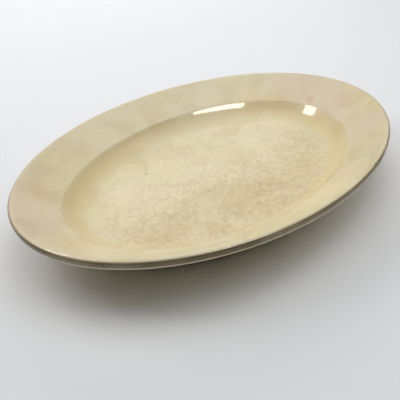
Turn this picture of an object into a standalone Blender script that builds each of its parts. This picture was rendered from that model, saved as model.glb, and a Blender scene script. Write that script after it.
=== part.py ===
"""Oval china serving platter, in metres, +Z up.

The platter is one pressing of white clay with a glaze fired on to it. It stands on the bare edge of
an oval foot ring, so the glaze is two separate coats: one over the face, the lip and the whole
back down to the foot, and one over the shallow recess inside the foot. X runs along the platter and
the origin is on the table under its centre.

Every surface is a loft through oval rings. The clay's section is drawn twice, at the ends of the
oval and at its sides, as corners with radii: `inset` is the distance in from the finished outline
and `z` the height. Each pair of matching points becomes one ring.
"""

import math

import bmesh
import bpy
from mathutils import Vector

# Finished size, over the glaze.
LENGTH = 0.340
WIDTH = 0.245

# Rim: the sloping border between the shoulder of the well and the crest of the lip.
RIM_WIDTH_AT_ENDS = 0.0345
RIM_WIDTH_AT_SIDES = 0.0305
RIM_RISE = 0.0170
RIM_THICKNESS = 0.0044

# Lip: the edge of the rim, a little thicker than the rim behind it, with its face leaning in below.
LIP_THICKNESS = 0.0054
LIP_CROWN = 0.0025
LIP_UNDERCUT = 0.0008
LIP_TOP_RADIUS = 0.0016
LIP_UNDER_RADIUS = 0.0014

# Well: its wall leans in more steeply at the sides than at the ends.
WELL_DEPTH = 0.0133
WALL_RUN_AT_ENDS = 0.0130
WALL_RUN_AT_SIDES = 0.0085
WALL_THICKNESS = 0.0054
SHOULDER_RADIUS = 0.0040
COVE_RADIUS = 0.0250
UNDER_SHOULDER_RADIUS = 0.0070

# Floor and foot ring.
FLOOR_THICKNESS = 0.0060
FOOT_HEIGHT = 0.0026
FOOT_WIDTH = 0.0044
FOOT_DRAFT = 0.0006
FOOT_EDGE_RADIUS = 0.0007
FOOT_ROOT_RADIUS = 0.0012

# Glaze: its thickness, its clearance to the clay, and how far up the foot it is wiped off.
GLAZE_THICKNESS = 0.0004
GLAZE_CLEARANCE = 0.0003
BARE_FOOT_HEIGHT = 0.0012

# Vertices round each oval ring.
OVAL_STEPS = 48

SKIN = GLAZE_THICKNESS + GLAZE_CLEARANCE
FLOOR_TOP = FOOT_HEIGHT + FLOOR_THICKNESS
SHOULDER_TOP = FLOOR_TOP + WELL_DEPTH
CREST = SHOULDER_TOP + RIM_RISE

COLLECTION_NAME = "china_serving_platter"


def clear_scene():
    """Removes what the startup scene holds."""
    for old in list(bpy.data.objects):
        bpy.data.objects.remove(old)


def make_collection(name):
    """A collection for the platter's parts, linked to the scene."""
    collection = bpy.data.collections.new(name)
    bpy.context.scene.collection.children.link(collection)
    return collection


def make_material(name, colour, roughness, coat):
    """A Principled material with a plain colour."""
    material = bpy.data.materials.new(name)
    material.use_nodes = True
    shader = material.node_tree.nodes["Principled BSDF"]
    shader.inputs["Base Color"].default_value = (*colour, 1.0)
    shader.inputs["Roughness"].default_value = roughness
    shader.inputs["Metallic"].default_value = 0.0
    shader.inputs["Coat Weight"].default_value = coat
    material.diffuse_color = (*colour, 1.0)
    return material


def right_of(along):
    """The direction at right angles to a section direction, on its right."""
    return Vector((along.y, -along.x))


def offset_line(first, second, distance):
    """The line through two section points, moved by distance to its right."""
    sideways = right_of((second - first).normalized()) * distance
    return first + sideways, second + sideways


def crossing(line_a, line_b):
    """The point where two section lines meet."""
    a, b = line_a
    c, d = line_b
    share = (c - a).cross(d - c) / (b - a).cross(d - c)
    return a + share * (b - a)


def at_height(line, z):
    """The point of a section line at height z."""
    a, b = line
    return a + (b - a) * ((z - a.y) / (b.y - a.y))


def arc(before, corner, after, radius, steps):
    """The points that round off a corner with an arc of this radius, in this many steps."""
    arriving = (corner - before).normalized()
    leaving = (after - corner).normalized()
    turn = math.atan2(arriving.cross(leaving), arriving.dot(leaving))
    start = corner - arriving * radius * math.tan(abs(turn) / 2)
    spoke = right_of(arriving) * math.copysign(radius, turn)
    centre = start - spoke
    points = []
    for step in range(steps + 1):
        cos = math.cos(turn * step / steps)
        sin = math.sin(turn * step / steps)
        points.append(centre + Vector((spoke.x * cos - spoke.y * sin, spoke.x * sin + spoke.y * cos)))
    return points


def clay_section(rim_width, wall_run):
    """The section of the fired clay for this rim width and wall run, as (inset, z) points.

    It runs from the floor of the well, out over the lip and back under to the recess of the base.
    The clay's outline lies inside the finished outline by the skin of glaze and clearance.
    """
    crest_corner = Vector((SKIN + LIP_CROWN, CREST))
    shoulder = Vector((rim_width, SHOULDER_TOP))
    well_corner = Vector((rim_width + wall_run, FLOOR_TOP))
    rim_under = offset_line(crest_corner, shoulder, RIM_THICKNESS)
    wall_under = offset_line(shoulder, well_corner, WALL_THICKNESS)

    # The corner above the lip's leaning face stands out so that its arc just reaches the outline.
    lean = math.atan2(LIP_UNDERCUT, LIP_THICKNESS)
    face_inset = SKIN - LIP_TOP_RADIUS * (math.tan(math.pi / 4 + lean / 2) - 1)
    lip_bottom = CREST - LIP_THICKNESS
    foot_root = at_height(wall_under, FOOT_HEIGHT)
    foot_outer = Vector((foot_root.x + FOOT_DRAFT, 0.0))
    foot_inner = Vector((foot_outer.x + FOOT_WIDTH, 0.0))
    base_corner = Vector((foot_inner.x + FOOT_DRAFT, FOOT_HEIGHT))

    corners = [
        (Vector((well_corner.x + COVE_RADIUS, FLOOR_TOP)), 0.0, 0),
        (well_corner, COVE_RADIUS, 5),
        (shoulder, SHOULDER_RADIUS, 3),
        (crest_corner, LIP_TOP_RADIUS, 2),
        (Vector((face_inset, CREST)), LIP_TOP_RADIUS, 3),
        (Vector((face_inset + LIP_UNDERCUT, lip_bottom)), LIP_UNDER_RADIUS, 3),
        (at_height(rim_under, lip_bottom), LIP_UNDER_RADIUS, 2),
        (crossing(rim_under, wall_under), UNDER_SHOULDER_RADIUS, 2),
        (foot_root, FOOT_ROOT_RADIUS, 2),
        (foot_outer, FOOT_EDGE_RADIUS, 2),
        (foot_inner, FOOT_EDGE_RADIUS, 2),
        (base_corner, FOOT_ROOT_RADIUS, 2),
        (Vector((base_corner.x + 4 * FOOT_ROOT_RADIUS, FOOT_HEIGHT)), 0.0, 0),
    ]
    section = [corners[0][0]]
    for (before, _, _), (corner, radius, steps), (after, _, _) in zip(corners, corners[1:], corners[2:]):
        section += arc(before, corner, after, radius, steps)
    section.append(corners[-1][0])
    return section


def off_the_clay(section):
    """A stretch of the clay's section, moved out by the glaze's clearance."""
    moved = []
    last = len(section) - 1
    for index, point in enumerate(section):
        arriving = (point - section[max(index - 1, 0)]).normalized()
        leaving = (section[min(index + 1, last)] - point).normalized()
        turn = arriving.angle(leaving) if 0 < index < last else 0.0
        outward = right_of((arriving + leaving).normalized())
        moved.append(point + outward * GLAZE_CLEARANCE / math.cos(turn / 2))
    return moved


def glazed_stretches(section):
    """The two stretches of the section that carry glaze: the face and back, and inside the foot.

    Each one ends on the foot at the height where the glaze is wiped off.
    """
    bare = [index for index, point in enumerate(section) if point.y < BARE_FOOT_HEIGHT]
    first, last = bare[0], bare[-1]
    outer_end = at_height((section[first - 1], section[first]), BARE_FOOT_HEIGHT)
    inner_end = at_height((section[last], section[last + 1]), BARE_FOOT_HEIGHT)
    return section[:first] + [outer_end], [inner_end] + section[last + 1 :]


def oval_ring(mesh, end_point, side_point):
    """Adds the oval ring that passes through one section point at the ends and one at the sides."""
    ring = []
    for step in range(OVAL_STEPS):
        angle = 2 * math.pi * step / OVAL_STEPS
        cos, sin = math.cos(angle), math.sin(angle)
        x = (LENGTH / 2 - end_point.x) * cos
        y = (WIDTH / 2 - side_point.x) * sin
        ring.append(mesh.verts.new((x, y, end_point.y * cos * cos + side_point.y * sin * sin)))
    return ring


def loft(end_section, side_section, cap_start, cap_end):
    """A mesh through the oval rings of two matching sections, with its faces pointing off the clay."""
    mesh = bmesh.new()
    rings = [oval_ring(mesh, end, side) for end, side in zip(end_section, side_section)]
    for ring, next_ring in zip(rings, rings[1:]):
        for step in range(OVAL_STEPS):
            following = (step + 1) % OVAL_STEPS
            mesh.faces.new((ring[step], next_ring[step], next_ring[following], ring[following]))
    if cap_start:
        mesh.faces.new(rings[0])
    if cap_end:
        mesh.faces.new(rings[-1][::-1])
    return mesh


def make_part(name, mesh, material, collection):
    """Turns a mesh into a named part with its material, shaded smooth."""
    data = bpy.data.meshes.new(name)
    mesh.to_mesh(data)
    mesh.free()
    data.materials.append(material)
    data.shade_smooth()
    data.set_sharp_from_angle(angle=math.radians(40))
    part = bpy.data.objects.new(name, data)
    collection.objects.link(part)
    return part


def make_clay_body(end_section, side_section, collection):
    """The fired clay: floor, wall, rim, lip and foot ring in one pressing."""
    clay = make_material("bare_clay", (0.80, 0.74, 0.62), roughness=0.85, coat=0.0)
    mesh = loft(end_section, side_section, cap_start=True, cap_end=True)
    return make_part("clay_body", mesh, clay, collection)


def make_glaze_coat(name, end_stretch, side_stretch, over_face, material, collection):
    """A coat of glaze: a surface just off the clay, thickened outwards.

    It closes over the floor of the well when over_face is set, and over the base otherwise.
    """
    ends, sides = off_the_clay(end_stretch), off_the_clay(side_stretch)
    mesh = loft(ends, sides, cap_start=over_face, cap_end=not over_face)
    coat = make_part(name, mesh, material, collection)
    wall = coat.modifiers.new("glaze_thickness", "SOLIDIFY")
    wall.thickness = GLAZE_THICKNESS
    wall.offset = 1.0
    wall.use_even_offset = True
    return coat


def main():
    """Builds the platter: its clay body and the two coats of glaze."""
    clear_scene()
    collection = make_collection(COLLECTION_NAME)
    end_section = clay_section(RIM_WIDTH_AT_ENDS, WALL_RUN_AT_ENDS)
    side_section = clay_section(RIM_WIDTH_AT_SIDES, WALL_RUN_AT_SIDES)
    end_face, end_base = glazed_stretches(end_section)
    side_face, side_base = glazed_stretches(side_section)

    make_clay_body(end_section, side_section, collection)
    glaze = make_material("cream_glaze", (0.74, 0.65, 0.46), roughness=0.15, coat=0.6)
    make_glaze_coat("face_glaze", end_face, side_face, True, glaze, collection)
    make_glaze_coat("base_glaze", end_base, side_base, False, glaze, collection)


if __name__ == "__main__":
    main()
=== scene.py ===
"""China serving platter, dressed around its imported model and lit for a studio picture.

The platter is a loft: one section of clay and glaze, carried round an oval. Its three pieces are
the fired clay, the coat of glaze over the face and back, and the coat inside the foot ring. All
lengths are in metres, with +X along the platter and the table at z = 0.
"""

import logging
import math
from dataclasses import dataclass, field
from enum import Enum
from typing import Any, NamedTuple, Union

import bpy
import numpy as np
from mathutils import Matrix, Quaternion, Vector


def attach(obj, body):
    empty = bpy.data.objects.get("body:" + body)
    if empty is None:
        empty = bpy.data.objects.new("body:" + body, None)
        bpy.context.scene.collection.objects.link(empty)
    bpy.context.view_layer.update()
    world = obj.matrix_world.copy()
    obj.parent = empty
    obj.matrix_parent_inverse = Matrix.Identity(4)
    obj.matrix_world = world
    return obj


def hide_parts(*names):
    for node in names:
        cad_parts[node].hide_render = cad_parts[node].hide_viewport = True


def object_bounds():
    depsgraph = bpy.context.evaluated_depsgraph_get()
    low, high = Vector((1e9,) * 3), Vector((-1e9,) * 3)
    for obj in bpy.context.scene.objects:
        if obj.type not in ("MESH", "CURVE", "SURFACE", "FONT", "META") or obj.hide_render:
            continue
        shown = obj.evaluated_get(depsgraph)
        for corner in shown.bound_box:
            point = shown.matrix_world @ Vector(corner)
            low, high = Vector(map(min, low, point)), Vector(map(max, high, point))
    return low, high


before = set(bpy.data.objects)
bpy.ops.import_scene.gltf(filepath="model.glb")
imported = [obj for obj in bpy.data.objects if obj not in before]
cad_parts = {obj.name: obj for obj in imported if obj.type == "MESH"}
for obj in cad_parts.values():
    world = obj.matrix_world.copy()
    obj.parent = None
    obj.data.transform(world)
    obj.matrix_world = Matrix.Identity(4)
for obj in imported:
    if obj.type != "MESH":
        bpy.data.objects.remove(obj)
CAD_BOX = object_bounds()

Array = np.ndarray
Colour = tuple[float, float, float]
Place = tuple[float, float]
Pair = tuple[float, float]
Triple = tuple[float, float, float]

log = logging.getLogger("platter")


# --- Shader maths ---


class Wire:
    """A shader socket that can stand in a Python expression."""

    def __init__(self, graph: "Graph", socket: bpy.types.NodeSocket) -> None:
        """Wraps an output socket.

        Args:
            graph: the graph that the socket belongs to.
            socket: the output socket.
        """
        self.graph = graph
        self.socket = socket

    def _math(self, operation: str, first: "Value", second: "Value" = 0.0) -> "Wire":
        """Adds a Math node for one operation."""
        return self.graph.node("ShaderNodeMath", {"operation": operation}, {0: first, 1: second})

    def __add__(self, other: "Value") -> "Wire":
        """self + other."""
        return self._math("ADD", self, other)

    def __radd__(self, other: "Value") -> "Wire":
        """other + self."""
        return self._math("ADD", other, self)

    def __sub__(self, other: "Value") -> "Wire":
        """self - other."""
        return self._math("SUBTRACT", self, other)

    def __rsub__(self, other: "Value") -> "Wire":
        """other - self."""
        return self._math("SUBTRACT", other, self)

    def __mul__(self, other: "Value") -> "Wire":
        """self * other."""
        return self._math("MULTIPLY", self, other)

    def __rmul__(self, other: "Value") -> "Wire":
        """other * self."""
        return self._math("MULTIPLY", other, self)

    def larger(self, other: "Value") -> "Wire":
        """The larger of self and other."""
        return self._math("MAXIMUM", self, other)

    def root(self) -> "Wire":
        """The square root of self."""
        return self._math("SQRT", self)

    def rise(self, low: float, high: float) -> "Wire":
        """An S-shaped step of self: 0 at low and 1 at high, which may be below low."""
        ends = {"Value": self, "From Min": low, "From Max": high}
        return self.graph.node("ShaderNodeMapRange", {"interpolation_type": "SMOOTHSTEP"}, ends)


Value = Union[Wire, float]


class Graph:
    """A material's or the world's node tree."""

    def __init__(self, tree: bpy.types.NodeTree) -> None:
        """Starts from an empty tree.

        Args:
            tree: the node tree to fill.
        """
        self.tree = tree
        tree.nodes.clear()

    def node(
        self, kind: str, settings: dict[str, Any], inputs: dict[Any, Any], output: Any = 0
    ) -> Wire:
        """Adds one node.

        Args:
            kind: the node's type name.
            settings: the node's own settings, which are set first.
            inputs: a value or a Wire for each socket, by name or number.
            output: the name or number of the output socket to hand back.

        Returns:
            The output socket as a Wire, which is empty where the node has no outputs.
        """
        node = self.tree.nodes.new(kind)
        for name, value in settings.items():
            setattr(node, name, value)
        for key, value in inputs.items():
            if isinstance(value, Wire):
                self.tree.links.new(value.socket, node.inputs[key])
            else:
                node.inputs[key].default_value = value
        return Wire(self, node.outputs[output] if node.outputs else None)

    def place(self) -> Wire:
        """The point's place on the piece, in metres."""
        return self.node("ShaderNodeTexCoord", {}, {}, "Object")

    def split(self, vector: Wire) -> tuple[Wire, Wire, Wire]:
        """The three parts of a vector.

        Args:
            vector: the vector.

        Returns:
            Its x, y and z.
        """
        parts = self.node("ShaderNodeSeparateXYZ", {}, {0: vector})
        outputs = parts.socket.node.outputs
        return tuple(Wire(self, outputs[axis]) for axis in range(3))

    def mapped(self, vector: Wire, turn: float, along: float = 1.0) -> Wire:
        """A vector turned about Z, and then scaled along x to draw a pattern out."""
        turned = self.node("ShaderNodeMapping", {}, {"Vector": vector, "Rotation": (0.0, 0.0, turn)})
        return self.node("ShaderNodeMapping", {}, {"Vector": turned, "Scale": (along, 1.0, 1.0)})

    def clouds(self, vector: Wire, grain: float, detail: float = 2.0, swirl: float = 0.0) -> Wire:
        """Soft noise about 0.5.

        Args:
            vector: where the noise is read.
            grain: the size of its clouds, in metres.
            detail: how many finer layers it has.
            swirl: how far it is distorted.

        Returns:
            The noise, between 0 and 1.
        """
        inputs = {"Vector": vector, "Scale": 1.0 / grain, "Detail": detail, "Distortion": swirl}
        return self.node("ShaderNodeTexNoise", {}, inputs, "Fac")

    def cells(self, vector: Wire, grain: float, measure: "CellMeasure") -> Wire:
        """The distance to a part of a pattern of cells.

        Args:
            vector: where the pattern is read.
            grain: the size of its cells, in metres.
            measure: what the distance is taken to.

        Returns:
            The distance, as a share of a cell.
        """
        inputs = {"Vector": vector, "Scale": 1.0 / grain}
        return self.node("ShaderNodeTexVoronoi", {"feature": measure.value}, inputs, "Distance")

    def blend(self, share: Value, first: Any, second: Any) -> Wire:
        """The first colour, with a share of the second laid over it."""
        inputs = {0: share, 6: rgba(first), 7: rgba(second)}
        return self.node("ShaderNodeMix", {"data_type": "RGBA"}, inputs, 2)

    def bump(self, height: Wire, depth: float, below: Union[Wire, None] = None) -> Wire:
        """A surface normal tilted by a height.

        Args:
            height: the height, where 1 is full.
            depth: how far full height stands out, in metres.
            below: the normal that this one lies on.

        Returns:
            The normal.
        """
        inputs: dict[str, Any] = {"Height": height, "Distance": depth, "Strength": 1.0}
        if below is not None:
            inputs["Normal"] = below
        return self.node("ShaderNodeBump", {}, inputs)


class CellMeasure(Enum):
    """What the distance in a pattern of cells is taken to."""

    CENTRE = "F1"
    BORDER = "DISTANCE_TO_EDGE"


def rgba(colour: Any) -> Any:
    """A colour with full alpha, or the Wire that was given.

    Args:
        colour: three numbers, or a Wire.

    Returns:
        Four numbers, or the same Wire.
    """
    return colour if isinstance(colour, Wire) else (*colour, 1.0)


@dataclass(frozen=True)
class Layer:
    """One soft noise, read through an S-shaped step.

    Attributes:
        grain: the size of its clouds, in metres.
        low: the noise at which it starts to show.
        high: the noise at which it shows in full.
        detail: how many finer layers the noise has.
        swirl: how far the noise is distorted.
        turn: how far it is turned about Z, in radians.
        along: its scale along its own x; a small one draws it out into streaks.
    """

    grain: float
    low: float
    high: float
    detail: float = 2.0
    swirl: float = 0.0
    turn: float = 0.0
    along: float = 1.0

    def over(self, graph: Graph, place: Wire) -> Wire:
        """Adds the layer to a graph.

        Args:
            graph: the graph to add nodes to.
            place: the point's place.

        Returns:
            How much the layer shows, between 0 and 1.
        """
        if self.turn:
            place = graph.mapped(place, self.turn, self.along)
        return graph.clouds(place, self.grain, self.detail, self.swirl).rise(self.low, self.high)


@dataclass(frozen=True)
class Finish:
    """What a surface is finished with: a Principled shader fed by a graph.

    Attributes:
        name: the material's name.
        roughness: how rough the surface is, before it varies.
        coat: how much clear coat lies on it, before it varies.
    """

    name: str
    roughness: float
    coat: float = 0.0

    def varying(self, graph: Graph) -> dict[str, Wire]:
        """The shader's sockets that change over the surface.

        Args:
            graph: the graph to add nodes to.

        Returns:
            A Wire for each socket, by the socket's name.
        """
        raise NotImplementedError

    def even(self) -> dict[str, Any]:
        """The shader's sockets that are the same all over."""
        coat = {"Coat Weight": self.coat, "Coat Roughness": 0.04}
        return {"Roughness": self.roughness, "IOR": 1.5} | coat

    def material(self) -> bpy.types.Material:
        """Builds the material.

        Returns:
            The new material.
        """
        material = bpy.data.materials.new(self.name)
        material.use_nodes = True
        graph = Graph(material.node_tree)
        shader = graph.node("ShaderNodeBsdfPrincipled", {}, {**self.even(), **self.varying(graph)})
        graph.node("ShaderNodeOutputMaterial", {"is_active_output": True}, {"Surface": shader})
        return material


class Tint(Enum):
    """The colours of the glaze, its marks and the clay, as linear red, green and blue."""

    CREAM = (0.88, 0.79, 0.545)
    TAN = (0.66, 0.53, 0.30)
    BLUSH = (0.80, 0.665, 0.51)
    STRAW = (0.84, 0.745, 0.44)
    AGED = (0.45, 0.355, 0.20)
    RUST = (0.62, 0.34, 0.19)
    UMBER = (0.20, 0.15, 0.08)
    # The lip's face colour: partly darkened by age, partly painted shade along the edge.
    OLIVE = (0.155, 0.108, 0.034)
    # The wall's tint: glaze pooled on the wall, together with painted shade down the cove.
    POOLED_AND_SHADED = (0.80, 0.64, 0.32)
    AMBER = (0.82, 0.61, 0.27)
    CLAY = (0.70, 0.62, 0.48)
    GRIT = (0.42, 0.34, 0.24)
    LINEN = (0.79, 0.795, 0.805)


@dataclass(frozen=True)
class Stain:
    """A soft mark in the glaze.

    Attributes:
        centre: its place on the platter.
        reach: half its size along and across the platter.
        tint: its colour.
        strength: how much of its colour shows at its middle.
        ragged: how far its edge wanders, as a share of its reach.
    """

    centre: Place
    reach: Place
    tint: Tint
    strength: float
    ragged: float = 0.5


STAINS = (
    Stain((0.1403, 0.0066), (0.0045, 0.0060), Tint.RUST, 0.42, 0.7),
    Stain((0.1275, 0.0310), (0.0050, 0.0120), Tint.RUST, 0.16, 0.8),
    Stain((0.1080, 0.0520), (0.0150, 0.0130), Tint.AMBER, 0.40, 0.7),
    Stain((0.1240, 0.0340), (0.0110, 0.0170), Tint.AMBER, 0.42, 0.7),
    Stain((-0.0745, 0.0899), (0.0200, 0.0130), Tint.TAN, 0.40, 0.8),
    Stain((-0.1250, 0.0520), (0.0130, 0.0200), Tint.TAN, 0.34, 0.8),
    Stain((-0.1404, -0.0092), (0.0140, 0.0160), Tint.TAN, 0.42, 0.8),
    Stain((0.0633, -0.0856), (0.0200, 0.0120), Tint.TAN, 0.22, 0.8),
    Stain((0.0057, -0.1080), (0.0300, 0.0100), Tint.STRAW, 0.50, 0.6),
    Stain((-0.1480, 0.0254), (0.0120, 0.0200), Tint.BLUSH, 0.60, 0.6),
    Stain((0.1120, -0.0700), (0.0240, 0.0200), Tint.BLUSH, 0.65, 0.6),
)


@dataclass(frozen=True)
class Pit:
    """A pinhole or fleck in the glaze.

    Attributes:
        centre: its place on the platter.
        radius: its size.
        depth: how dark it is, between 0 and 1.
    """

    centre: Place
    radius: float
    depth: float


PITS = (
    Pit((-0.0389, 0.0441), 0.00110, 0.95),
    Pit((-0.0264, 0.0058), 0.00060, 0.45),
    Pit((-0.0476, 0.0126), 0.00060, 0.40),
    Pit((0.0429, -0.0254), 0.00065, 0.40),
    Pit((0.1235, -0.0815), 0.00110, 0.75),
    Pit((0.0449, -0.1165), 0.00130, 0.80),
    Pit((-0.1030, 0.0600), 0.00050, 0.50),
    Pit((0.0900, -0.0500), 0.00050, 0.50),
)


@dataclass(frozen=True)
class CreamGlaze(Finish):
    """A warm cream glaze with clouds of tint, rubbed and speckled in the well, and finely crazed.

    A zone is a pair of values: it starts at the first and is full at the second.

    Attributes:
        stained: whether the placed marks are laid on it.
        blush, drift, patches: where the glaze is pinker, where it is yellower, where it is tanned.
        ends_zone: the ends of the platter, by the square of x.
        well_zone: the well, by ring.
        near_zone: the worn near part of the well, by the place across.
        fine, coarse, sparse: the mottling, where it gathers, and where the darker grains gather.
        wall_zones: the wall, from its foot up and from its top down, by height.
        edge_zone: the outline, by ring.
        lip_zones: the lip's face, from its top down and from its bottom up, by height.
        lip_wear_and_shade: where the lip's face is darkest, from age and from painted shade.
        crazed: where the glaze is crazed.
        scratches: two sets of scratches that cross.
    """

    stained: bool = True
    blush_and_reflection: Layer = Layer(0.085, 0.30, 0.65)
    drift: Layer = Layer(0.045, 0.40, 0.70, detail=3.0, swirl=0.4, turn=0.6)
    patches: Layer = Layer(0.028, 0.42, 0.70, detail=4.0, swirl=0.5, turn=1.3)
    ends_zone: Pair = (0.008, 0.021)
    # near_zone: the near part of the well, which is tanned darker and speckled more, by the place
    # across.
    well_zone: Pair = (0.74, 0.60)
    near_zone: Pair = (0.035, -0.050)
    fine: Layer = Layer(0.0034, 0.30, 0.72, detail=4.0)
    coarse: Layer = Layer(0.014, 0.25, 0.75, detail=3.0, swirl=0.3)
    sparse: Layer = Layer(0.011, 0.50, 0.62, turn=1.1)
    wall_zones: tuple[Pair, Pair] = ((0.0092, 0.0112), (0.0222, 0.0195))
    edge_zone: Pair = (0.984, 0.993)
    lip_zones: tuple[Pair, Pair] = ((0.0395, 0.0383), (0.0343, 0.0354))
    lip_wear_and_shade: Layer = Layer(0.030, 0.35, 0.65)
    crazed: Layer = Layer(0.05, 0.42, 0.62, detail=1.0)
    scratches: tuple[Layer, Layer] = (
        Layer(0.0011, 0.70, 0.78, detail=0.0, turn=0.5, along=0.05),
        Layer(0.0013, 0.71, 0.79, detail=0.0, turn=-0.85, along=0.04),
    )

    def varying(self, graph: Graph) -> dict[str, Wire]:
        """Colour, roughness, coat and relief of the glaze.

        The tint drifts in broad clouds; the well is speckled by fine noise and rubbed by fine
        scratches; the wall is deeper in colour, from pooled glaze and from painted shade; the lip's
        face is darker, from age and from painted shade.

        Args:
            graph: the graph to add nodes to.

        Returns:
            A Wire for each varying socket.
        """
        place = graph.place()
        x, y, z = graph.split(place)
        faces_up = self.facing(graph).rise(-0.15, 0.25)
        ring = self.ring(x, y)
        well = ring.rise(*self.well_zone) * faces_up

        colour = self.ground(graph, place, x, y, well)
        if self.stained:
            colour = self.stains(graph, place, x, y, colour, faces_up)
        # The wall band is deepened in colour: partly pooled glaze, partly painted shade on the wall.
        wall = z.rise(*self.wall_zones[0]) * z.rise(*self.wall_zones[1]) * faces_up
        colour = graph.blend(wall * 0.50, colour, Tint.POOLED_AND_SHADED.value)
        # The lip's face is darkened, partly by age and partly as painted shade on the edge.
        lip = ring.rise(*self.edge_zone) * z.rise(*self.lip_zones[0]) * z.rise(*self.lip_zones[1])
        lip_age_and_shade = lip * (0.78 + 0.18 * self.lip_wear_and_shade.over(graph, place))
        colour = graph.blend(lip_age_and_shade, colour, Tint.OLIVE.value)
        cracks = self.crazing(graph, place) * (0.05 + 0.16 * well)
        colour = graph.blend(cracks, colour, Tint.AGED.value)
        one_way, other_way = (layer.over(graph, place) for layer in self.scratches)
        scratches = one_way.larger(other_way) * well
        colour = graph.blend(scratches * 0.14, colour, Tint.AGED.value)
        colour, pits = self.pits(graph, place, x, y, colour, faces_up)

        wear = graph.clouds(place, 0.018, 4.0)
        rough = self.roughness + 0.10 * wear + 0.16 * well + 0.25 * pits
        coat = self.coat - 0.35 * well * wear.rise(0.35, 0.75) - 0.6 * pits - 0.85 * lip_age_and_shade
        relief = graph.bump(graph.clouds(place, 0.013, 1.0), 0.00016)
        relief = graph.bump(graph.clouds(place, 0.0016, 2.0), 0.000018, relief)
        relief = graph.bump(1.0 - 0.25 * scratches - pits, 0.00020, relief)
        return {"Base Color": colour, "Roughness": rough, "Coat Weight": coat, "Normal": relief}

    def ground(self, graph: Graph, place: Wire, x: Wire, y: Wire, well: Wire) -> Wire:
        """The glaze's own colour, ahead of any mark: its drifts of tint and its speckle.

        Args:
            graph: the graph to add nodes to.
            place: the point's place.
            x: its part along the platter.
            y: its part across.
            well: 1 in the well and 0 outside it.

        Returns:
            The colour.
        """
        # Towards the ends the pink is strengthened: painted reflection on the rim's ends, over a
        # faint pink tone of the glaze.
        ends = (x * x).rise(*self.ends_zone)
        blush_and_reflection = self.blush_and_reflection.over(graph, place) * (0.10 + 0.75 * ends)
        colour = graph.blend(blush_and_reflection, Tint.CREAM.value, Tint.BLUSH.value)
        colour = graph.blend(self.drift.over(graph, place) * 0.60, colour, Tint.STRAW.value)
        # The near part of the well is tanned darker and speckled more.
        near_well = (x * 0.20 + y).rise(*self.near_zone) * well
        tan = self.patches.over(graph, place) * 0.36 + near_well * 0.34 + (1.0 - well) * 0.17
        colour = graph.blend(tan, colour, Tint.TAN.value)
        grain = self.speckle(graph, place) * (0.08 + 0.13 * well + 0.32 * near_well)
        return graph.blend(grain, colour, Tint.AGED.value)

    def facing(self, graph: Graph) -> Wire:
        """The upward part of the surface's normal, from -1 to 1."""
        normal = graph.node("ShaderNodeTexCoord", {}, {}, "Normal")
        return graph.split(normal)[2]

    def ring(self, x: Wire, y: Wire) -> Wire:
        """The oval that a point lies on: 0 at the centre and 1 on the outline.

        Args:
            x: the point's place along the platter.
            y: the point's place across it.

        Returns:
            The root of the sum of the squares of x and y over the half length and half width.
        """
        half = CAD_BOX[1]
        along, across = x * (1.0 / half[0]), y * (1.0 / half[1])
        return (along * along + across * across).root()

    def speckle(self, graph: Graph, place: Wire) -> Wire:
        """Fine mottling: the product of a coarse and a fine noise, plus scattered darker grains.

        Args:
            graph: the graph to add nodes to.
            place: the point's place.

        Returns:
            The mottling, between 0 and 1.
        """
        fine = self.fine.over(graph, place)
        gathered = 0.35 + 0.65 * self.coarse.over(graph, place)
        grains = graph.cells(place, 0.0042, CellMeasure.CENTRE).rise(0.22, 0.05)
        return (fine * gathered).larger(grains * self.sparse.over(graph, place) * 0.7)

    def crazing(self, graph: Graph, place: Wire) -> Wire:
        """The net of hairline cracks: the narrow borders between cells of a wavering pattern.

        Args:
            graph: the graph to add nodes to.
            place: the point's place.

        Returns:
            1 in a crack and 0 between cracks.
        """
        sway = graph.node("ShaderNodeTexNoise", {}, {"Vector": place, "Scale": 90.0}, "Color")
        shift = graph.node("ShaderNodeVectorMath", {"operation": "SCALE"}, {0: sway, "Scale": 0.004})
        bent = graph.node("ShaderNodeVectorMath", {"operation": "ADD"}, {0: place, 1: shift})
        border = graph.cells(bent, 0.0085, CellMeasure.BORDER)
        return border.rise(0.035, 0.0) * self.crazed.over(graph, place)

    def stains(
        self, graph: Graph, place: Wire, x: Wire, y: Wire, colour: Wire, faces_up: Wire
    ) -> Wire:
        """Lays each soft mark over the colour.

        Args:
            graph: the graph to add nodes to.
            place: the point's place.
            x: its part along the platter.
            y: its part across.
            colour: the colour below.
            faces_up: 1 where the surface faces up.

        Returns:
            The colour with its marks.
        """
        sway = graph.clouds(place, 0.009, 3.0)
        for stain in STAINS:
            along = (x - stain.centre[0]) * (1.0 / stain.reach[0])
            across = (y - stain.centre[1]) * (1.0 / stain.reach[1])
            distance = (along * along + across * across).root() + (sway - 0.5) * (2.0 * stain.ragged)
            shown = distance.rise(1.25, 0.15) * faces_up * stain.strength
            colour = graph.blend(shown, colour, stain.tint.value)
        return colour

    def pits(
        self, graph: Graph, place: Wire, x: Wire, y: Wire, colour: Wire, faces_up: Wire
    ) -> tuple[Wire, Wire]:
        """Marks each pinhole, and scatters smaller ones.

        Args:
            graph: the graph to add nodes to.
            place: the point's place.
            x: its part along the platter.
            y: its part across.
            colour: the colour below.
            faces_up: 1 where the surface faces up.

        Returns:
            The colour with its pits, and the pits alone.
        """
        far = graph.cells(graph.mapped(place, 0.3), 0.030, CellMeasure.CENTRE)
        shown = far.rise(0.018, 0.008) * 0.6
        for pit in PITS:
            along, across = x - pit.centre[0], y - pit.centre[1]
            distance = (along * along + across * across).root()
            shown = shown.larger(distance.rise(pit.radius, 0.35 * pit.radius) * pit.depth)
        shown = shown * faces_up
        return graph.blend(shown, colour, Tint.UMBER.value), shown


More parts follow.
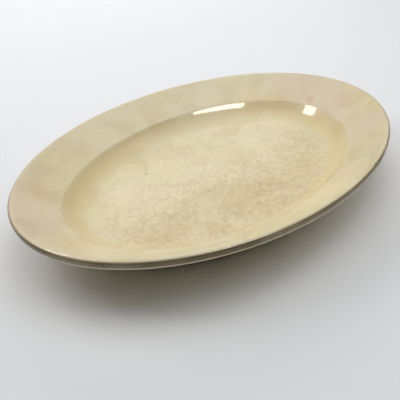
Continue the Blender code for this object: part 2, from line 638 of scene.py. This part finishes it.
@dataclass(frozen=True)
class BareClay(Finish):
    """Fired clay with no glaze, gritty and rubbed dark where it meets the table.

    Attributes:
        rubbed: where the foot is rubbed.
    """

    rubbed: Layer = Layer(0.012, 0.35, 0.70, detail=3.0)

    def varying(self, graph: Graph) -> dict[str, Wire]:
        """Colour and grain of the clay.

        Args:
            graph: the graph to add nodes to.

        Returns:
            A Wire for each varying socket.
        """
        place = graph.place()
        z = graph.split(place)[2]
        grit = graph.clouds(place, 0.0009, 4.0)
        colour = graph.blend(grit.rise(0.5, 0.8) * 0.6, Tint.CLAY.value, Tint.GRIT.value)
        rubbed = z.rise(0.0008, 0.0) * self.rubbed.over(graph, place)
        colour = graph.blend(rubbed * 0.55, colour, Tint.GRIT.value)
        relief = graph.bump(grit, 0.00012)
        return {"Base Color": colour, "Roughness": 0.75 + 0.2 * grit, "Normal": relief}


@dataclass(frozen=True)
class TableTop(Finish):
    """A smooth pale table top, with clouds of a slightly duller tone."""

    def varying(self, graph: Graph) -> dict[str, Wire]:
        """A faint drift of tone.

        Args:
            graph: the graph to add nodes to.

        Returns:
            A Wire for each varying socket.
        """
        drift = graph.clouds(graph.place(), 0.35)
        dull = tuple(0.97 * part for part in Tint.LINEN.value)
        return {"Base Color": graph.blend(drift, Tint.LINEN.value, dull)}


# --- Form ---


def right_of(along: Array) -> Array:
    """Each section direction turned a quarter to its right, from (a, b) to (b, -a)."""
    return np.stack([along[..., 1], -along[..., 0]], axis=-1)


def unit(vectors: Array) -> Array:
    """Each vector at length one."""
    return vectors / np.linalg.norm(vectors, axis=-1, keepdims=True)


def cross(first: Array, second: Array) -> float:
    """The signed area between two section directions, above zero for a turn to the left."""
    return float(first[0] * second[1] - first[1] * second[0])


def fillet(before: Array, corner: Array, after: Array, radius: float, steps: int) -> Array:
    """An arc that rounds off a corner and meets both of its lines.

    The spoke from the arc's centre to its start is turned by equal shares of the corner's turn.

    Args:
        before: the corner ahead of this one.
        corner: the corner to round.
        after: the corner behind it.
        radius: the arc's radius.
        steps: how many chords the arc has.

    Returns:
        The arc's points.
    """
    arriving, leaving = unit(corner - before), unit(after - corner)
    turn = math.atan2(cross(arriving, leaving), float(arriving @ leaving))
    start = corner - arriving * radius * math.tan(abs(turn) / 2)
    spoke = right_of(arriving) * math.copysign(radius, turn)
    angles = turn * np.linspace(0.0, 1.0, steps + 1)
    turned = np.outer(np.cos(angles), spoke) - np.outer(np.sin(angles), right_of(spoke))
    return start - spoke + turned


def refined(paths: list[Array], step: float) -> list[Array]:
    """Paths with points added where the first one has long steps.

    Each long stretch is cut at equal shares, at the same shares on every path, so that the paths
    still match point for point.

    Args:
        paths: matching paths, one point in each row.
        step: the longest step that the first path may keep.

    Returns:
        The paths with their added points.
    """
    lengths = np.linalg.norm(np.diff(paths[0], axis=0), axis=1)
    pieces = np.maximum(1, np.ceil(lengths / step)).astype(int)
    starts = np.repeat(np.arange(len(pieces)), pieces)
    counts = np.arange(pieces.sum()) - np.repeat(np.cumsum(pieces) - pieces, pieces)
    shares = (counts / np.repeat(pieces, pieces))[:, None]
    return [
        np.vstack([path[starts] * (1.0 - shares) + path[starts + 1] * shares, path[-1:]])
        for path in paths
    ]


class Corner(NamedTuple):
    """A corner of a section.

    Attributes:
        point: where its two lines meet.
        radius: the radius that rounds it off.
        chords: how many straight steps the round has.
    """

    point: Array
    radius: float = 0.0
    chords: int = 0


@dataclass
class PlatterSection:
    """The section of the fired clay at one place on the oval, as (inset, height) points.

    The inset is the distance in from the finished outline.

    Attributes:
        rim_width: from the outline to the shoulder of the well.
        wall_run: how far the wall leans in, from the shoulder to the floor.
        skin: the glaze and its clearance, which the clay's outline lies inside.
        rim_rise: the height of the crest over the shoulder.
        rim_hollow: how far the rim's top sinks below a straight line.
        lip_thickness: the height of the lip's face.
        lip_crown: the width of the flat crest.
        lip_undercut: how far the lip's face leans in below.
        well_depth: the height of the shoulder over the floor.
        foot_draft: how far each side of the foot ring slopes.
        rim_points: how many points lie along the rim's top, with both its ends.
    """

    rim_width: float
    wall_run: float
    skin: float = 0.0007
    rim_rise: float = 0.0170
    rim_thickness: float = 0.0044
    rim_hollow: float = 0.0004
    lip_thickness: float = 0.0054
    lip_crown: float = 0.0025
    lip_undercut: float = 0.0008
    lip_top_radius: float = 0.0016
    lip_under_radius: float = 0.0014
    well_depth: float = 0.0133
    wall_thickness: float = 0.0054
    shoulder_radius: float = 0.0040
    cove_radius: float = 0.0250
    under_shoulder_radius: float = 0.0070
    floor_top: float = 0.0086
    foot_height: float = 0.0026
    foot_width: float = 0.0044
    foot_draft: float = 0.0006
    foot_edge_radius: float = 0.0007
    foot_root_radius: float = 0.0012
    rim_points: int = 30

    def corners(self) -> list[Corner]:
        """The section's corners, from the well's floor round the lip to the base.

        The corner above the lip's leaning face stands out so that its arc just reaches the
        outline.

        Returns:
            The corners, with a plain point at each end.
        """
        shoulder_top = self.floor_top + self.well_depth
        crest = shoulder_top + self.rim_rise
        crown = np.array([self.skin + self.lip_crown, crest])
        shoulder = np.array([self.rim_width, shoulder_top])
        well = np.array([self.rim_width + self.wall_run, self.floor_top])
        rim_under = self.beside(crown, shoulder, self.rim_thickness)
        wall_under = self.beside(shoulder, well, self.wall_thickness)
        lean = math.atan2(self.lip_undercut, self.lip_thickness)
        face_inset = self.skin - self.lip_top_radius * (math.tan(math.pi / 4 + lean / 2) - 1.0)
        lip_bottom = crest - self.lip_thickness
        root = self.at_height(wall_under, self.foot_height)
        outer = np.array([root[0] + self.foot_draft, 0.0])
        inner = outer + (self.foot_width, 0.0)
        recess = np.array([inner[0] + self.foot_draft, self.foot_height])
        lip_foot = np.array([face_inset + self.lip_undercut, lip_bottom])
        return [
            Corner(well + (self.cove_radius, 0.0)),
            Corner(well, self.cove_radius, 22),
            Corner(shoulder, self.shoulder_radius, 12),
            Corner(crown, self.lip_top_radius, 5),
            Corner(np.array([face_inset, crest]), self.lip_top_radius, 12),
            Corner(lip_foot, self.lip_under_radius, 10),
            Corner(self.at_height(rim_under, lip_bottom), self.lip_under_radius, 5),
            Corner(self.meeting(rim_under, wall_under), self.under_shoulder_radius, 8),
            Corner(root, self.foot_root_radius, 5),
            Corner(outer, self.foot_edge_radius, 6),
            Corner(inner, self.foot_edge_radius, 6),
            Corner(recess, self.foot_root_radius, 5),
            Corner(recess + (4 * self.foot_root_radius, 0.0)),
        ]

    def trace(self) -> Array:
        """The whole section, with each corner rounded and the rim hollowed a little.

        The rim is lowered by the square of half a sine wave from the shoulder to the crest.

        Returns:
            The section's points.
        """
        corners = self.corners()
        arcs = [
            fillet(before.point, corner.point, after.point, corner.radius, corner.chords)
            for before, corner, after in zip(corners, corners[1:], corners[2:])
        ]
        (cove, shoulder), rest = arcs[:2], arcs[2:]
        shares = np.linspace(0.0, 1.0, self.rim_points)[1:-1]
        rim = shoulder[-1] + shares[:, None] * (rest[0][0] - shoulder[-1])
        rim[:, 1] -= self.rim_hollow * np.sin(math.pi * shares) ** 2
        return np.vstack([corners[0].point, cove, shoulder, rim, *rest, corners[-1].point])

    @staticmethod
    def beside(first: Array, second: Array, distance: float) -> tuple[Array, Array]:
        """The line through two points, moved by distance to its right."""
        sideways = right_of(unit(second - first)) * distance
        return first + sideways, second + sideways

    @staticmethod
    def at_height(line: tuple[Array, Array], height: float) -> Array:
        """The point of a line at this height."""
        first, second = line
        return first + (second - first) * (height - first[1]) / (second[1] - first[1])

    @staticmethod
    def meeting(line: tuple[Array, Array], other: tuple[Array, Array]) -> Array:
        """The point where two lines cross."""
        (a, b), (c, d) = line, other
        return a + (b - a) * cross(c - a, d - c) / cross(b - a, d - c)


def moved_out(path: Array, distance: float) -> Array:
    """A section path moved off the clay by a distance, along its own normals."""
    return path + right_of(unit(np.gradient(path, axis=0))) * distance


@dataclass
class HandShape:
    """The small unevenness of a platter that was pressed and fired by hand.

    Attributes:
        rim_dip: how far the rim dips at its lowest.
        rim_waves: the waves of the dip round the oval: count, phase and share of each.
        floor_sag: how far the floor hangs at its middle.
        floor_reach: the ring where the sag ends.
        floor_least: the height that keeps the foot and its recess out of the sag.
        outline_dip: how far the outline is drawn in at its narrowest.
        outline_wave: the wave of the outline: its count and phase.
    """

    rim_dip: float = 0.0004
    rim_waves: tuple[Triple, ...] = ((2, -0.9, 0.6), (3, 0.7, 0.4))
    floor_sag: float = 0.0003
    floor_reach: float = 0.68
    floor_least: float = 0.002
    outline_dip: float = 0.0003
    outline_wave: Pair = (3, -0.4)

    def __call__(self, points: Array) -> Array:
        """Moves points of any piece in the same way, so that the pieces stay clear of each other.

        Heights are lowered by a slow wave round the oval that fades to nothing at the foot, and
        by a shallow bowl over the floor. The outline is drawn in by another slow wave.

        Args:
            points: points, one in each row.

        Returns:
            The moved points.
        """
        half = CAD_BOX[1]
        ring = np.hypot(points[:, 0] / half[0], points[:, 1] / half[1])
        angle = np.arctan2(points[:, 1] / half[1], points[:, 0] / half[0])
        lift = np.clip(points[:, 2] / half[2], 0.0, 1.0) ** 2
        waves = (share * np.cos(count * angle + phase) for count, phase, share in self.rim_waves)
        wave = 0.5 - 0.5 * sum(waves)
        bowl = np.clip(1.0 - (ring / self.floor_reach) ** 2, 0.0, 1.0) ** 2
        bowl *= points[:, 2] > self.floor_least
        count, phase = self.outline_wave
        pinch = 0.5 - 0.5 * np.cos(count * angle + phase)
        drawn = 1.0 - (self.outline_dip / half[0]) * ring**2 * pinch
        shaped = points * np.stack([drawn, drawn, np.ones_like(drawn)], axis=1)
        shaped[:, 2] -= self.rim_dip * lift * wave + self.floor_sag * bowl
        return shaped


@dataclass
class OvalLoft:
    """A closed surface lofted through ovals, with a pole at each end.

    Attributes:
        ends: the section at the ends of the oval.
        sides: the matching section at its sides.
        columns: how many points each oval has.
        floor_rings: how many steps fill each flat middle.
        shape: the unevenness that every point is moved by.
    """

    ends: Array
    sides: Array
    columns: int = 432
    floor_rings: int = 26
    shape: HandShape = field(default_factory=HandShape)

    def rings(self) -> Array:
        """Each oval's half length, half width, and height at its ends and at its sides.

        Past each end of the section the ovals shrink in equal steps towards the middle.

        Returns:
            One oval in each row.
        """
        half = CAD_BOX[1]
        reach = np.stack([half[0] - self.ends[:, 0], half[1] - self.sides[:, 0]], axis=1)
        heights = np.stack([self.ends[:, 1], self.sides[:, 1]], axis=1)
        rings = np.hstack([reach, heights])
        shares = np.linspace(0.0, 1.0, self.floor_rings + 1)[1:-1, None]
        first = np.hstack([rings[0, :2] * shares, np.repeat(rings[:1, 2:], len(shares), axis=0)])
        last = np.hstack([rings[-1, :2] * shares, np.repeat(rings[-1:, 2:], len(shares), axis=0)])
        return np.vstack([first, rings, last[::-1]])

    def points(self) -> Array:
        """The loft's points, ring by ring, and then its two poles.

        A point is (half length * cos, half width * sin, height), and the height goes from its
        value at the ends to its value at the sides with the square of the sine.

        Returns:
            The points, one in each row.
        """
        rings = self.rings()
        angles = np.linspace(0.0, 2 * math.pi, self.columns, endpoint=False)
        cos, sin = np.cos(angles), np.sin(angles)
        x = np.outer(rings[:, 0], cos)
        y = np.outer(rings[:, 1], sin)
        z = np.outer(rings[:, 2], cos**2) + np.outer(rings[:, 3], sin**2)
        grid = np.stack([x, y, z], axis=-1).reshape(-1, 3)
        poles = np.array([[0.0, 0.0, rings[0, 2]], [0.0, 0.0, rings[-1, 2]]])
        return self.shape(np.vstack([grid, poles]))

    def faces(self, count: int) -> tuple[Array, Array]:
        """The loft's faces.

        Args:
            count: how many rings there are.

        Returns:
            The four-sided faces between rings, and the three-sided faces round the poles.
        """
        column = np.arange(self.columns)
        following = (column + 1) % self.columns
        base = (np.arange(count - 1) * self.columns)[:, None]
        beyond = base + self.columns
        corners = [base + column, beyond + column, beyond + following, base + following]
        quads = np.stack(corners, axis=-1).reshape(-1, 4)
        last = (count - 1) * self.columns
        first_pole, last_pole = count * self.columns, count * self.columns + 1
        top = np.stack([np.full_like(column, first_pole), column, following], axis=-1)
        bottom = np.stack([last + following, last + column, np.full_like(column, last_pole)], axis=-1)
        return quads, np.vstack([top, bottom])

    def mesh(self, name: str) -> bpy.types.Mesh:
        """Builds the loft's mesh, shaded smooth.

        Args:
            name: the mesh's name.

        Returns:
            The new mesh.
        """
        points = self.points()
        quads, fans = self.faces((len(points) - 2) // self.columns)
        sizes = np.concatenate([np.full(len(quads), 4), np.full(len(fans), 3)])
        data = bpy.data.meshes.new(name)
        data.vertices.add(len(points))
        data.vertices.foreach_set("co", points.astype(np.float32).ravel())
        data.loops.add(int(sizes.sum()))
        loops = np.concatenate([quads.ravel(), fans.ravel()])
        data.loops.foreach_set("vertex_index", loops.astype(np.int32))
        data.polygons.add(len(sizes))
        data.polygons.foreach_set("loop_start", (np.cumsum(sizes) - sizes).astype(np.int32))
        data.update(calc_edges=True)
        data.validate()
        data.shade_smooth()
        return data


# --- The platter ---


@dataclass
class Platter:
    """The clay and its two coats of glaze.

    Attributes:
        at_ends: the clay's section at the ends of the oval.
        at_sides: its section at the sides.
        clearance: the gap between clay and glaze.
        glaze_thickness: the thickness of each coat.
        bare_height: how far up the foot the glaze is wiped off.
        step: the longest step along a section.
    """

    at_ends: PlatterSection = field(default_factory=lambda: PlatterSection(0.0345, 0.0130))
    at_sides: PlatterSection = field(default_factory=lambda: PlatterSection(0.0305, 0.0085))
    clearance: float = 0.0003
    glaze_thickness: float = 0.0004
    bare_height: float = 0.0012
    step: float = 0.0016

    def __post_init__(self) -> None:
        """Traces both sections at matching points."""
        self.ends, self.sides = refined([self.at_ends.trace(), self.at_sides.trace()], self.step)
        bare = np.flatnonzero(self.ends[:, 1] < self.bare_height)
        self.face_stretch = slice(0, int(bare[0]))
        self.base_stretch = slice(int(bare[-1]) + 1, len(self.ends))

    def build(self) -> None:
        """Makes the three pieces and reports each one."""
        glaze = CreamGlaze("cream_glaze", roughness=0.24, coat=0.95).material()
        plain = CreamGlaze("base_cream_glaze", roughness=0.28, coat=0.85, stained=False).material()
        clay = BareClay("bare_clay", roughness=0.85).material()
        body = OvalLoft(self.ends, self.sides)
        over, inside = self.coat(self.face_stretch), self.coat(self.base_stretch)
        self.place(body, "fired_clay", "clay_body", "clay", clay)
        self.place(over, "glaze_over_face_and_back", "face_glaze", "glaze", glaze)
        self.place(inside, "glaze_inside_foot", "base_glaze", "glaze", plain)

    def coat(self, stretch: slice) -> OvalLoft:
        """A coat of glaze over one stretch of the section, closed round its edge.

        The path runs along the coat's outer surface and back along its inner one.

        Args:
            stretch: the section points that it covers.

        Returns:
            The coat's loft.
        """
        covers_face = stretch.start == 0
        paths = []
        for section in (self.ends, self.sides):
            outer = moved_out(section, self.clearance + self.glaze_thickness)[stretch]
            inner = moved_out(section, self.clearance)[stretch]
            paths.append(np.vstack([outer, inner[::-1]] if covers_face else [inner[::-1], outer]))
        return OvalLoft(*paths)

    def place(
        self, loft: OvalLoft, name: str, node: str, slot: str, material: bpy.types.Material
    ) -> bpy.types.Object:
        """Makes one piece and ties it to the frame.

        Args:
            loft: the piece's surface.
            name: the piece's name.
            node: the CAD node that it stands for.
            slot: not used.
            material: its material.

        Returns:
            The new piece.
        """
        data = loft.mesh(name)
        data.materials.append(material)
        piece = bpy.data.objects.new(name, data)
        bpy.context.scene.collection.objects.link(piece)
        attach(piece, "root")
        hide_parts(node)
        log.info("%s: %d faces in place of %s", name, len(data.polygons), node)
        return piece


# --- The studio ---


class Role(Enum):
    """What a light panel does: whether it brightens surfaces, and whether glossy ones mirror it."""

    FILL = (True, False)
    GLINT = (False, True)


@dataclass(frozen=True)
class Softbox:
    """A square or oblong light panel.

    Attributes:
        name: its name.
        place: where it hangs.
        aim: the point that it faces.
        size: its width and height.
        power: its power in watts.
        role: what it does.
        tint: its colour.
        roll: how far it is turned about its own axis, in degrees.
    """

    name: str
    place: Triple
    aim: Triple
    size: Pair
    power: float
    role: Role = Role.FILL
    tint: Colour = (1.0, 1.0, 1.0)
    roll: float = 0.0

    def hang(self) -> bpy.types.Object:
        """Adds the panel to the scene.

        Returns:
            The light.
        """
        data = bpy.data.lights.new(self.name, "AREA")
        data.shape = "RECTANGLE"
        data.size, data.size_y = self.size
        data.energy = self.power
        data.color = self.tint
        panel = bpy.data.objects.new(self.name, data)
        panel.location = self.place
        facing = Vector(self.aim) - Vector(self.place)
        roll = Quaternion((0.0, 0.0, 1.0), math.radians(self.roll))
        panel.rotation_euler = (facing.to_track_quat("-Z", "Y") @ roll).to_euler()
        panel.visible_diffuse, panel.visible_glossy = self.role.value
        bpy.context.scene.collection.objects.link(panel)
        return panel


@dataclass
class Studio:
    """The table, the room's light and the camera.

    Attributes:
        azimuth: the camera's turn round the platter, in degrees.
        elevation: its height above the horizon, in degrees.
        roll: how far it is tipped, in degrees.
        distance: its distance from the crest's centre, in half lengths of the platter.
        aside: how far it stands to its own right and up, in half lengths.
        lens: its focal length in millimetres.
        sensor: the width of its sensor in millimetres.
        table_reach: half the width of the table top, in metres.
        table_points: how many points its grid has on a side.
        bright_side: the direction round which the room is brightest.
        glow_edge: the cosines of the angle to it between which the brightness rises.
        gloom: the strength of the room's light elsewhere.
        glow: how much stronger it is on the bright side.
        room_tint: its colour.
    """

    azimuth: float = -42.5
    elevation: float = 33.2
    roll: float = -4.4
    distance: float = 2.453
    aside: Pair = (-0.065, -0.284)
    lens: float = 46.8
    sensor: float = 36.0
    table_reach: float = 6.0
    table_points: int = 9
    bright_side: Triple = (0.12, -0.12, 0.98)
    glow_edge: Pair = (0.64, 0.93)
    gloom: float = 0.03
    glow: float = 0.66
    room_tint: Colour = (0.96, 0.98, 1.0)

    def softboxes(self) -> tuple[Softbox, ...]:
        """The light panels.

        Returns:
            Two windows that only glossy surfaces mirror, and four panels that only brighten.
        """
        return (
            Softbox(
                name="left_window",
                place=(-0.403, 0.689, 0.989),
                aim=(0.13, 0.0, 0.02),
                size=(0.28, 0.26),
                power=2.4,
                role=Role.GLINT,
                tint=(1.0, 0.98, 0.94),
            ),
            Softbox(
                name="right_window",
                place=(0.01, -0.81, 0.94),
                aim=(0.03, 0.08, 0.02),
                size=(0.62, 0.12),
                power=3.4,
                role=Role.GLINT,
                tint=(1.0, 0.97, 0.92),
                roll=-32.6,
            ),
            Softbox(
                name="low_far_panel",
                place=(0.75, 0.85, 0.50),
                aim=(0.0, 0.1, 0.0),
                size=(1.2, 0.6),
                power=5.0,
                tint=(0.97, 0.98, 1.0),
            ),
            Softbox("left_panel", (-0.40, 1.00, 0.90), (0.0, 0.1, 0.0), (1.0, 0.8), 8.8),
            Softbox("right_panel", (0.75, -0.45, 0.85), (0.0, 0.0, 0.0), (0.9, 0.7), 2.8),
            Softbox("overhead_panel", (0.14, 0.02, 0.85), (0.06, 0.0, 0.0), (0.7, 0.7), 2.3),
        )

    def build(self) -> None:
        """Lays the table, hangs the lights and sets up the camera."""
        self.lay_table()
        for softbox in self.softboxes():
            softbox.hang()
            log.info("%s light in place", softbox.name)
        self.fill_room()
        self.set_camera()
        view = bpy.context.scene.view_settings
        view.view_transform = "Standard"
        view.look = "None"

    def lay_table(self) -> None:
        """Makes a table top far wider than the view, as a flat square grid."""
        across = np.linspace(-self.table_reach, self.table_reach, self.table_points)
        x, y = np.meshgrid(across, across)
        points = np.stack([x, y, np.zeros_like(x)], axis=-1).reshape(-1, 3)
        squares = self.table_points - 1
        row, column = np.divmod(np.arange(squares**2), squares)
        first = row * self.table_points + column
        above = first + self.table_points
        faces = np.stack([first, first + 1, above + 1, above], axis=-1)
        data = bpy.data.meshes.new("table_top")
        data.from_pydata(points.tolist(), [], faces.tolist())
        data.materials.append(TableTop("table_linen", roughness=0.6).material())
        table = bpy.data.objects.new("table_top", data)
        bpy.context.scene.collection.objects.link(table)
        log.info("table top laid")

    def fill_room(self) -> None:
        """Surrounds the table with soft light, brightest nearly straight overhead."""
        world = bpy.data.worlds.new("studio_room")
        world.use_nodes = True
        bpy.context.scene.world = world
        graph = Graph(world.node_tree)
        way = graph.node("ShaderNodeTexCoord", {}, {}, "Generated")
        bright_side = Vector(self.bright_side).normalized()
        along = {"operation": "DOT_PRODUCT"}
        facing = graph.node("ShaderNodeVectorMath", along, {0: way, 1: bright_side}, "Value")
        strength = self.gloom + self.glow * facing.rise(*self.glow_edge)
        glow = {"Color": rgba(self.room_tint), "Strength": strength}
        background = graph.node("ShaderNodeBackground", {}, glow)
        graph.node("ShaderNodeOutputWorld", {"is_active_output": True}, {"Surface": background})
        log.info("room light in place")

    def set_camera(self) -> None:
        """Stands the camera off the crest's centre and points it along its own axis.

        The camera's back is (sin a cos e, -cos a cos e, sin e). Its right and up are level and
        square to that, and are then turned about it by the roll.
        """
        angles = (self.azimuth, self.elevation, self.roll)
        turn, tilt, roll = (math.radians(angle) for angle in angles)
        ahead, level_reach = math.cos(turn), math.cos(tilt)
        back = Vector((math.sin(turn) * level_reach, -ahead * level_reach, math.sin(tilt)))
        level = Vector((ahead, math.sin(turn), 0.0))
        upright = back.cross(level)
        right = level * math.cos(roll) + upright * math.sin(roll)
        up = upright * math.cos(roll) - level * math.sin(roll)
        half_length, crest = float(CAD_BOX[1][0]), float(CAD_BOX[1][2])
        stand = (back * self.distance + right * self.aside[0] + up * self.aside[1]) * half_length
        data = bpy.data.cameras.new("camera")
        data.lens = self.lens
        data.sensor_width = self.sensor
        camera = bpy.data.objects.new("camera", data)
        bpy.context.scene.collection.objects.link(camera)
        columns = Matrix((right, up, back)).transposed().to_4x4()
        camera.matrix_world = Matrix.Translation(stand + Vector((0.0, 0.0, crest))) @ columns
        bpy.context.scene.camera = camera
        log.info("camera in place")


def main() -> None:
    """Builds the platter and the studio, and reports each piece."""
    logging.basicConfig(level=logging.INFO, format="%(name)s: %(message)s")
    Platter().build()
    Studio().build()


if __name__ == "__main__":
    main()
